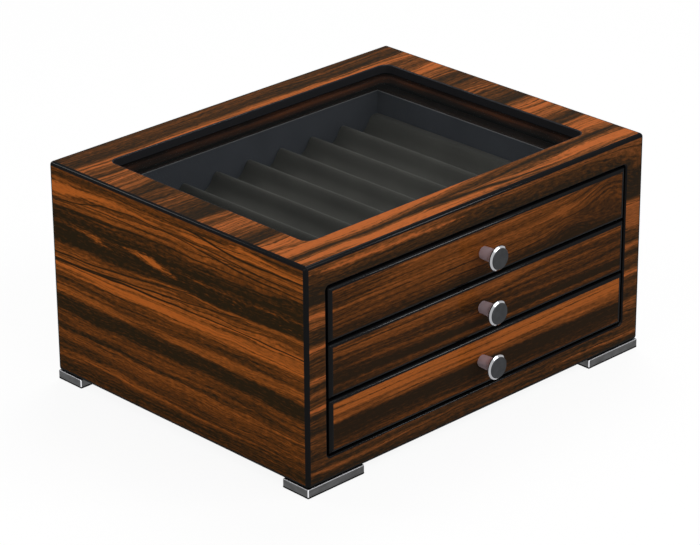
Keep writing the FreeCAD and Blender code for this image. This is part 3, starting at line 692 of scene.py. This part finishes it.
def drawer_finish(position, seed):
    """A drawer front's veneer, its grain running from left to right."""
    low, high = box(f"{position}_drawer_front")
    size = (high.x - low.x, high.z - low.z)
    finish = lacquered(f"{position}_drawer_veneer")
    colour, relief = figure(
        finish, finish.x - low.x, high.z - finish.z, size, DRAWER_BANDS_AND_SHADE[position], DRAWER_WOOD,
        seed, DRAWER_HILLS[position], DRAWER_STROKES[position], DRAWER_GRIT,
    )
    ends = size[0] / 2 - abs(finish.x - (low.x + high.x) / 2)
    edges = size[1] / 2 - abs(finish.z - (low.z + high.z) / 2)
    rim = 1.0 - past_edge((ends - DRAWER_END_BLACK).least(edges), DRAWER_EDGE)
    behind = (finish.y - low.y).rise(VENEER_DEPTH, VENEER_DEPTH + BORDER)
    black_parts(finish, colour, rim.most(behind), relief, gloss=DRAWER_GLOSS)
    return finish.material


# Plain woods

def plain_wood(name, dark, light, seed, grain_axis="y", roughness=0.5, gloss=0.35):
    """Straight-grained wood with pores, for boards that carry no veneer."""
    finish = Finish(name, specular_ior_level=gloss, roughness=roughness)
    level = (finish.x, finish.y)
    along, across = level if grain_axis == "x" else reversed(level)
    streaks = finish.mottle(along / 60, across / 2.2, finish.z / 2.2 + seed)
    fibres = finish.mottle(along / 7, across / 0.5, finish.z / 0.5 + seed, detail=1.0)
    tone = (streaks * 1.2 + fibres * 0.7 + 0.5).clamped()
    finish.set("Base Color", tone.mix(dark, light))
    finish.set("Roughness", roughness + streaks * 0.15)
    finish.bump(fibres + 0.5, 0.08)
    return finish.material


def retainer_finish():
    """Dark lacquered frame under the glass with one warm stripe along its inner faces."""
    low, high = box("glass_retainer")
    finish = lacquered("retainer_wood")
    share = (finish.z - low.z) / (high.z - low.z)
    patches = finish.mottle(finish.x / 70, finish.y / 70, finish.z / 12)
    lines = finish.mottle(finish.x / 22, finish.y / 22, finish.z / 0.9)
    stripe = share.ramp(((0.0, 0.0), (0.4, 0.3), (0.75, 1.0), (1.0, 0.5)), "EASE")
    tone = (stripe * (0.5 + patches * 3.0) + lines * 0.35).clamped()
    finish.set("Base Color", tone.mix(seen(24, 19, 16), seen(88, 48, 25)))
    finish.bump(lines + 0.5, 0.02)
    return finish.material


# Suede and felt

FOLD_START, FOLD_FULL = 0.5, 0.2  # how far below a fold's top its painted highlight begins
FOLD_HIGHLIGHT_SHARE = 0.5


def suede(name, dark, light, fold=None):
    """Short napped fabric: brushed patches and fine fibres, with a painted highlight above a
    fold's height.
    """
    finish = Finish(
        name, roughness=0.95, specular_ior_level=0.1, sheen_weight=0.1, sheen_roughness=0.4
    )
    brushed = finish.mottle(finish.x / 26, finish.y / 40, finish.z / 26, detail=3.0)
    nap = finish.mottle(finish.x / 0.5, finish.y / 0.8, finish.z / 0.5)
    colour = (brushed * 0.9 + nap * 0.35 + 0.5).clamped().mix(dark, light)
    if fold is not None:
        # A paler band just below the lining's top edge is a painted highlight along its fold.
        painted_fold_highlight = finish.z.rise(fold - FOLD_START, fold - FOLD_FULL)
        colour = (painted_fold_highlight * FOLD_HIGHLIGHT_SHARE).mix(colour, seen(130, 130, 130))
    finish.set("Base Color", colour)
    finish.bump(nap + 0.5, 0.004)
    return finish.material


# Metals and glass

KNOB_FACE_START, KNOB_FACE_END = 0.45, 0.6  # from the tip, where the face's painted shade gives way
KNOB_BORDER = 0.1


def screw_finish():
    """Bright steel with fine brush marks from front to back."""
    bright = seen(170, 170, 168)
    dull = tuple(channel * 0.8 for channel in bright)
    finish = Finish("screw_metal", metallic=1.0)
    marks = finish.mottle(finish.x / 0.25, finish.y / 14, finish.z / 0.25)
    patches = finish.mottle(finish.x / 6, finish.y / 6, finish.z / 6)
    finish.set("Base Color", (marks + patches + 0.5).clamped().mix(dull, bright))
    finish.set("Roughness", 0.3 + marks * 0.12 + patches * 0.06)
    finish.bump(marks + 0.5, 0.01)
    return finish.material


def knob_finish(name):
    """A knob: satin flare with fine turning rings, a bright bevel, and a rim band and face
    darkened as painted shade.
    """
    tip = box(f"{name}_knob")[0]
    finish = Finish(f"{name}_knob_metal")
    from_tip = finish.y - tip.y
    head = KNOB_BEVEL + KNOB_RIM
    face = 1.0 - from_tip.rise(KNOB_FACE_START, KNOB_FACE_END)
    bevel = 1.0 - from_tip.rise(KNOB_BEVEL - KNOB_BORDER, KNOB_BEVEL)
    rim = 1.0 - from_tip.rise(head - KNOB_BORDER, head)
    rings = finish.mottle(0.0, finish.y / 0.25, 0.0)
    smudge = finish.mottle(finish.x / 5, finish.y / 5, finish.z / 5)
    # The rim band and the face are darker than the bevel as painted shade for the dark
    # surroundings they reflect.
    bevel_and_shaded_rim = bevel.mix(seen(96, 97, 102), seen(172, 172, 175))
    colour = rim.mix(seen(176, 158, 164), bevel_and_shaded_rim)
    face_with_painted_shade = (rings + smudge + 0.5).clamped().mix(seen(46, 47, 49), seen(66, 67, 69))
    finish.set("Base Color", face.mix(colour, face_with_painted_shade))
    finish.set("Metallic", 0.5 + rim * 0.5)
    finish.set("Roughness", 0.46 - rim * 0.34 + face * 0.4 + rings * 0.05 + smudge * 0.05)
    finish.bump(rings + 0.5, 0.004)
    return finish.material


def foot_finish():
    """Satin feet with painted highlights on their top and upright edges and painted shade along
    their bottom edges.

    All four are like the back right one, mirrored in the middle of the case.
    """
    low, high = box("foot_back_right")
    finish = Finish("foot_metal", specular_ior_level=0.0)
    x, y = abs(finish.x), abs(finish.y - case_middle.y)
    y_low, y_high = low.y - case_middle.y, high.y - case_middle.y
    from_end = (x - low.x).least(high.x - x)
    from_side = (y - y_low).least(y_high - y)
    # The upright corner edges are near white as a painted highlight.
    upright = 1.0 - from_end.most(from_side).rise(FOOT_EDGE * 0.7, FOOT_EDGE)
    wall = from_end.least(from_side)
    # The top edges are lighter as a painted highlight.
    upper = 1.0 - wall.most(high.z - finish.z).rise(FOOT_EDGE * 0.6, FOOT_EDGE * 0.9)
    # A near black band along the bottom edges is painted shade.
    painted_bottom_shade = 1.0 - (finish.z - low.z).rise(FOOT_EDGE * 1.8, FOOT_EDGE * 2.2)
    brushed = finish.mottle(finish.x / 14, finish.y / 14, finish.z / 0.3)
    cloud = finish.mottle(finish.x / 9, finish.y / 9, finish.z / 4)
    satin = (brushed * 0.8 + cloud * 1.4 + 0.5).clamped().mix(seen(66, 66, 66), seen(96, 96, 97))
    satin_with_painted_highlights = (upper * 0.8).mix(satin, seen(150, 150, 153))
    satin_with_painted_highlights = upright.mix(satin_with_painted_highlights, seen(235, 235, 238))
    finish.set("Base Color", painted_bottom_shade.mix(satin_with_painted_highlights, seen(20, 20, 20)))
    finish.set("Metallic", 1.0 - painted_bottom_shade)
    finish.set("Roughness", 0.34 - upright * 0.16 + upper * 0.1 + brushed * 0.06)
    finish.bump(brushed + 0.5, 0.004)
    return finish.material


def glass():
    """A clear pane that lets light straight through, with a painted reflection: a faint white
    glow at low angles.
    """
    finish = Finish("pane", base_color=seen(20, 26, 26), specular_ior_level=0.0, alpha=0.06)
    smear_and_reflection_patches = finish.mottle(finish.x / 60, finish.y / 35, finish.z, detail=3.0)
    facing = made(finish.tree, "ShaderNodeLayerWeight", {"Blend": 0.5}, output="Facing")
    # The white emission is a painted reflection of a pale room: it grows towards grazing angles
    # and is patchy with the smears.
    painted_reflection = facing.math("POWER", facing, 5.0)
    finish.set("Emission Color", (1.0, 1.0, 1.0))
    finish.set("Emission Strength", painted_reflection * (0.3 + smear_and_reflection_patches * 0.3))
    finish.set("Roughness", 0.1 + abs(smear_and_reflection_patches) * 0.1)
    finish.material.surface_render_method = "BLENDED"
    return finish.material


# Materials on the CAD's own nodes

def give(material, item):
    """Make a material the only one of a Blender object."""
    item.data.materials.clear()
    item.data.materials.append(material)


def dress(material, *nodes):
    """Give CAD nodes a material."""
    for node in nodes:
        give(material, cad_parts[node])


def dress_case():
    """Materials of the case's boards, the window, the feet and all screws."""
    left = side_finish("left_veneer", LEFT_BANDS, 11.0, LEFT_HILLS, LEFT_STROKES)
    right = side_finish("right_veneer", HIDDEN_BANDS, 67.0, RIGHT_HILLS)
    dress(left, "left_side")
    dress(right, "right_side")
    dress(top_finish(), "top_panel")
    dress(frame_finish(), "front_frame")
    dress(back_finish(), "back_panel")
    dress(bottom_finish(), "bottom_panel")
    dress(glass(), "window_glass")
    dress(retainer_finish(), "glass_retainer")
    feet = [f"foot_{end}_{side}" for end in ("front", "back") for side in ("left", "right")]
    dress(foot_finish(), *feet)
    screws = [f"{name}_screws" for name in ("retainer", "foot", "runner")]
    screws += [f"{position}_drawer_knob_screw" for position in DRAWERS]
    dress(screw_finish(), *screws)


def dress_drawers():
    """Materials of the drawers and their runners."""
    dark, light = seen(16, 12, 10), seen(38, 26, 20)
    box_wood = plain_wood("box_wood", dark, light, seed=9.0, gloss=0.05)
    box_back_wood = plain_wood(
        "box_back_wood", dark, light, seed=13.0, grain_axis="x", gloss=0.05
    )
    plywood = plain_wood(
        "plywood", seen(150, 112, 72), seen(206, 170, 124),
        seed=17.0, grain_axis="x", roughness=0.6,
    )
    runner_wood = plain_wood("runner_wood", seen(74, 44, 24), seen(132, 86, 50), seed=21.0)
    for position, seed in zip(DRAWERS, (101.0, 121.0, 141.0)):
        name = f"{position}_drawer"
        dress(drawer_finish(position, seed), f"{name}_front")
        dress(box_wood, f"{name}_left_side", f"{name}_right_side")
        dress(box_back_wood, f"{name}_back")
        dress(plywood, f"{name}_floor")
        dress(knob_finish(name), f"{name}_knob")
        dress(runner_wood, f"{position}_runner_left", f"{position}_runner_right")


# Soft pieces. Their sizes are in millimetres too.

SUEDE_ROUNDING = 3.2  # half the width over which suede bridges the tray's edges
ROUNDING_STEPS = 10
TRAY_STEP = 0.75
TRAY_ROWS = 56
TRAY_TUCK = 1.2  # how far and how deep the suede turns down at the tray's borders
TRAY_TOP_GAP = 0.2
TRAY_LEAST = 0.4
WOBBLE_HEIGHT = 0.18
WOBBLE_WIDTH, WOBBLE_LENGTH = 18, 30

# The lining's upper edge: shares of its thickness, from the wall, and drops from its top.
LINING_TOP = ((0.0, 0.3), (0.25, 0.0), (0.75, 0.0), (1.0, 0.35))

# A felt slab from its back to its front: insets in soft edges and shares of its thickness.
FELT_RINGS = ((0.0, 0.0), (0.0, 0.55), (0.12, 0.85), (0.45, 1.0), (1.4, 1.0))
FELT_EDGE = 0.8
FELT_UNEVEN = 0.06
FELT_TUFT = 2.3
PAD_CORNER = 2.0
ARC_STEPS = 6


def mesh_piece(name, vertices, faces, body, material, node, smooth=True):
    """A mesh in metres that stands for a CAD node."""
    mesh = bpy.data.meshes.new(name)
    mesh.from_pydata([Vector(v) / MM for v in vertices], [], faces)
    mesh.validate()
    mesh.polygons.foreach_set("use_smooth", [smooth] * len(mesh.polygons))
    piece = bpy.data.objects.new(name, mesh)
    scene.collection.objects.link(piece)
    give(material, piece)
    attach(piece, body)
    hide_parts(node)
    return piece


def groove_depth(x):
    """How far the hard tray lies below its crests at a place across the pen grooves."""
    half = (PEN_GROOVES - 1) / 2
    away = min(abs(x - (groove - half) * PEN_PITCH) for groove in range(PEN_GROOVES))
    if away >= PEN_RADIUS:
        return 0.0
    return max(0.0, math.sqrt(PEN_RADIUS**2 - away**2) - PEN_RADIUS + PEN_DEPTH)


def covered_depth(x):
    """The same under its suede, which rounds every edge off."""
    spread = [
        SUEDE_ROUNDING * (2 * step / ROUNDING_STEPS - 1) for step in range(ROUNDING_STEPS + 1)
    ]
    weights = [1.0 - (shift / SUEDE_ROUNDING) ** 2 * 0.9 for shift in spread]
    return sum(w * groove_depth(x + shift) for w, shift in zip(weights, spread)) / sum(weights)


def tucked(from_border):
    """How far the tray's suede turns down at a distance from the tray's border."""
    return TRAY_TUCK * max(0.0, 1.0 - from_border / TRAY_TUCK) ** 2


def pen_tray(position, material):
    """A suede-covered tray whose grooves run from front to back."""
    node = f"{position}_drawer_pen_tray"
    low, high = box(node)
    width, length = high.x - low.x, high.y - low.y
    columns = int(width / TRAY_STEP)
    depths = [covered_depth(low.x + width * c / columns) for c in range(columns + 1)]
    vertices, faces = [], []
    for row in range(TRAY_ROWS + 1):
        y = low.y + length * (0.5 - 0.5 * math.cos(math.pi * row / TRAY_ROWS))
        end_drop = tucked(min(y - low.y, high.y - y))
        for column in range(columns + 1):
            x = low.x + width * column / columns
            side_drop = tucked(min(x - low.x, high.x - x))
            wobble = noise.noise(Vector((x / WOBBLE_WIDTH, y / WOBBLE_LENGTH, 7.0)))
            drop = TRAY_TOP_GAP + depths[column] + end_drop + side_drop
            z = high.z - drop + wobble * WOBBLE_HEIGHT
            vertices.append((x, y, max(low.z + TRAY_LEAST, z)))
    stride = columns + 1
    for row in range(TRAY_ROWS):
        for column in range(columns):
            first = row * stride + column
            faces.append((first, first + 1, first + 1 + stride, first + stride))
    rim = list(range(stride))
    rim += [row * stride + columns for row in range(1, TRAY_ROWS + 1)]
    rim += [TRAY_ROWS * stride + column for column in range(columns - 1, -1, -1)]
    rim += [row * stride for row in range(TRAY_ROWS - 1, 0, -1)]
    base, count = len(vertices), len(rim)
    vertices += [(vertices[i][0], vertices[i][1], low.z) for i in rim]
    for i in range(count):
        j = (i + 1) % count
        faces.append((rim[j], rim[i], base + i, base + j))
    faces.append(tuple(base + i for i in range(count - 1, -1, -1)))
    name, body = f"{position}_pen_tray", f"{position}_drawer"
    return mesh_piece(name, vertices, faces, body, material, node)


def lining(position, material):
    """The suede-covered card around a drawer's walls, its upper edge turned over softly."""
    node = f"{position}_drawer_lining"
    low, high = box(node)
    section = [(0.0, low.z)]
    section += [(inset * LINING_THICKNESS, high.z - drop) for inset, drop in LINING_TOP]
    section += [(LINING_THICKNESS, low.z)]
    corners = (
        (low.x, low.y, 1, 1),
        (high.x, low.y, -1, 1),
        (high.x, high.y, -1, -1),
        (low.x, high.y, 1, -1),
    )
    vertices = [
        (x + inward_x * inset, y + inward_y * inset, z)
        for inset, z in section
        for x, y, inward_x, inward_y in corners
    ]
    count = len(corners)
    faces = []
    for ring in range(len(section)):
        first, second = ring * count, (ring + 1) % len(section) * count
        for corner in range(count):
            beside = (corner + 1) % count
            faces.append((first + corner, first + beside, second + beside, second + corner))
    name, body = f"{position}_lining", f"{position}_drawer"
    return mesh_piece(name, vertices, faces, body, material, node, smooth=False)


def felt_slab(outline, thickness):
    """Rings of a cut felt slab from its flat back to its soft, slightly uneven front."""
    count = len(outline)
    middle = sum(outline, Vector((0, 0))) / count
    vertices = []
    for inset, height in FELT_RINGS:
        for spot in outline:
            towards = (middle - spot).normalized()
            place = spot + towards * inset * FELT_EDGE
            dip = abs(noise.noise(Vector((place.x / FELT_TUFT, place.y / FELT_TUFT, 4.0))))
            vertices.append((place.x, place.y, height * thickness * (1.0 - dip * FELT_UNEVEN)))
    faces = [tuple(range(count - 1, -1, -1))]
    last = (len(FELT_RINGS) - 1) * count
    for first in range(0, last, count):
        second = first + count
        for spot in range(count):
            beside = (spot + 1) % count
            faces.append((first + spot, first + beside, second + beside, second + spot))
    faces.append(tuple(range(last, last + count)))
    return vertices, faces


def arcs(half_x, half_y, corner):
    """The outline of a rectangle with round corners, or a circle where they meet."""
    spots = []
    for quarter, (sx, sy) in enumerate(((1, 1), (-1, 1), (-1, -1), (1, -1))):
        for step in range(ARC_STEPS + 1):
            turn = math.radians(90 * (quarter + step / ARC_STEPS))
            x = sx * (half_x - corner) + corner * math.cos(turn)
            y = sy * (half_y - corner) + corner * math.sin(turn)
            spots.append(Vector((x, y)))
    return spots


def felt_pieces(name, slabs, material, node):
    """One piece of several slabs, each with its outline, thickness and placement."""
    vertices, faces = [], []
    for outline, thickness, placement in slabs:
        start = len(vertices)
        slab_vertices, slab_faces = felt_slab(outline, thickness)
        vertices += [placement @ Vector(v) for v in slab_vertices]
        faces += [tuple(start + i for i in face) for face in slab_faces]
    return mesh_piece(name, vertices, faces, "case", material, node)


def foot_pads(material):
    """The pads under the feet."""
    pads = []
    for end in ("front", "back"):
        for side in ("left", "right"):
            low, high = box(f"foot_{end}_{side}")
            half = (high - low) / 2
            outline = arcs(half.x - PAD_INSET, half.y - PAD_INSET, PAD_CORNER)
            under = Matrix.Translation(((low.x + high.x) / 2, (low.y + high.y) / 2, low.z))
            pads.append((outline, low.z, under @ Matrix.Rotation(math.pi, 4, "X")))
    felt_pieces("felt_foot_pads", pads, material, "foot_pads")


def bumpers(material):
    """The two bumpers behind each drawer."""
    low, high = box("drawer_bumpers")
    span = high.z - low.z - 2 * BUMPER_RADIUS
    outline = arcs(BUMPER_RADIUS, BUMPER_RADIUS, BUMPER_RADIUS)
    to_front = Matrix.Rotation(math.pi / 2, 4, "X")
    slabs = []
    for x in (low.x + BUMPER_RADIUS, high.x - BUMPER_RADIUS):
        for level in range(len(DRAWERS)):
            z = low.z + BUMPER_RADIUS + span * level / (len(DRAWERS) - 1)
            placement = Matrix.Translation((x, high.y, z)) @ to_front
            slabs.append((outline, high.y - low.y, placement))
    felt_pieces("felt_bumpers", slabs, material, "drawer_bumpers")


# Stage, in metres

CAMERA_PLACE = Vector((-1.5500, -1.5835, 1.0788))
CAMERA_AZIMUTH, CAMERA_ELEVATION, CAMERA_ROLL = (
    math.radians(angle) for angle in (-44.222, 24.240, -0.352)
)
FOCAL_PIXELS = 3143.5
PHOTO_WIDTH = 700
SENSOR_WIDTH = 36.0
CLIP_START, CLIP_END = 0.05, 50.0

FLOOR_HALF = 6.0
FLOOR_GLOW = 1.05
FLOOR_GLOW_SHARE = 0.87
AMBIENT = 0.3
WHITE = (1.0, 1.0, 1.0, 1.0)
LAMP_TARGET = Vector((0.0, 0.0, 0.1))
LAMPS = (  # name, place, width and height, watts
    ("overhead", (0.7, 0.5, 1.8), (0.9, 0.9), 18.0),
    ("bank", (0.0, -1.3, 1.5), (2.6, 0.4), 18.0),
    ("left_fill", (-2.0, -0.2, 0.8), (0.8, 0.8), 9.0),
    ("front_fill", (0.2, -2.0, 0.8), (0.8, 0.8), 5.0),
    ("spark", (1.34, -1.5, 0.96), (0.2, 0.2), 4.0),
    ("back_strip", (-0.8, 1.3, 1.3), (0.5, 0.3), 5.0),
)


def camera():
    """The photograph's view."""
    a, e = CAMERA_AZIMUTH, CAMERA_ELEVATION
    back = Vector((math.sin(a) * math.cos(e), -math.cos(a) * math.cos(e), math.sin(e)))
    right = (-back).cross(Vector((0, 0, 1))).normalized()
    up = back.cross(right)
    turned_right = right * math.cos(CAMERA_ROLL) + up * math.sin(CAMERA_ROLL)
    turned_up = up * math.cos(CAMERA_ROLL) - right * math.sin(CAMERA_ROLL)
    turn = Matrix((turned_right, turned_up, back)).transposed().to_4x4()
    data = bpy.data.cameras.new("camera")
    data.sensor_width = SENSOR_WIDTH
    data.lens = FOCAL_PIXELS * SENSOR_WIDTH / PHOTO_WIDTH
    data.clip_start, data.clip_end = CLIP_START, CLIP_END
    item = bpy.data.objects.new("camera", data)
    item.matrix_world = Matrix.Translation(CAMERA_PLACE) @ turn
    scene.collection.objects.link(item)
    scene.camera = item


def background_share(tree):
    """1 for rays from the camera, from gloss and through glass, which all see the background."""
    path = tree.nodes.new("ShaderNodeLightPath")
    kinds = ("Camera", "Glossy", "Transmission")
    rays = [Field(tree, path.outputs[f"Is {kind} Ray"]) for kind in kinds]
    return rays[0].most(rays[1]).most(rays[2])


def room():
    """A white room that lights the chest less than it shows."""
    world = bpy.data.worlds.new("room")
    scene.world = world
    world.use_nodes = True
    tree = world.node_tree
    inputs = tree.nodes["Background"].inputs
    plug(tree, inputs["Color"], WHITE)
    plug(tree, inputs["Strength"], background_share(tree) * (1.0 - AMBIENT) + AMBIENT)


def floor():
    """A pale floor that looks as white as the room but for the chest's shadow."""
    finish = Finish("floor", roughness=1.0, specular_ior_level=0.0)
    speckle = finish.mottle(finish.x / 3, finish.y / 3, 0.0)
    pale = (speckle + 0.5).clamped().mix(seen(200, 200, 200), seen(206, 206, 206))
    finish.set("Base Color", pale)
    tree = finish.tree
    glow = made(tree, "ShaderNodeEmission", {"Color": WHITE, "Strength": FLOOR_GLOW})
    mixed = tree.nodes.new("ShaderNodeMixShader")
    plug(tree, mixed.inputs[0], background_share(tree) * FLOOR_GLOW_SHARE)
    tree.links.new(finish.shader.outputs[0], mixed.inputs[1])
    tree.links.new(glow.socket, mixed.inputs[2])
    tree.links.new(mixed.outputs[0], tree.nodes["Material Output"].inputs["Surface"])
    signs = ((-1, -1), (1, -1), (1, 1), (-1, 1))
    corners = [(x * FLOOR_HALF, y * FLOOR_HALF, 0) for x, y in signs]
    mesh = bpy.data.meshes.new("floor")
    mesh.from_pydata(corners, [], [(0, 1, 2, 3)])
    item = bpy.data.objects.new("floor", mesh)
    scene.collection.objects.link(item)
    give(finish.material, item)


def lamp(name, place, size, watts):
    """A soft rectangular lamp that points at the chest."""
    data = bpy.data.lights.new(name, "AREA")
    data.shape = "RECTANGLE"
    data.size, data.size_y = size
    data.energy = watts
    item = bpy.data.objects.new(name, data)
    item.location = place
    item.rotation_euler = (LAMP_TARGET - Vector(place)).to_track_quat("-Z", "Y").to_euler()
    scene.collection.objects.link(item)


dress_case()
dress_drawers()
tray_suede = suede("tray_suede", seen(48, 48, 45), seen(68, 68, 64))
for position in DRAWERS:
    pen_tray(position, tray_suede)
    fold = box(f"{position}_drawer_lining")[1].z
    lining(position, suede(f"{position}_wall_suede", seen(46, 49, 54), seen(60, 63, 69), fold))
felt = suede("felt", seen(22, 22, 22), seen(42, 42, 42))
foot_pads(felt)
bumpers(felt)
camera()
room()
floor()
for settings in LAMPS:
    lamp(*settings)
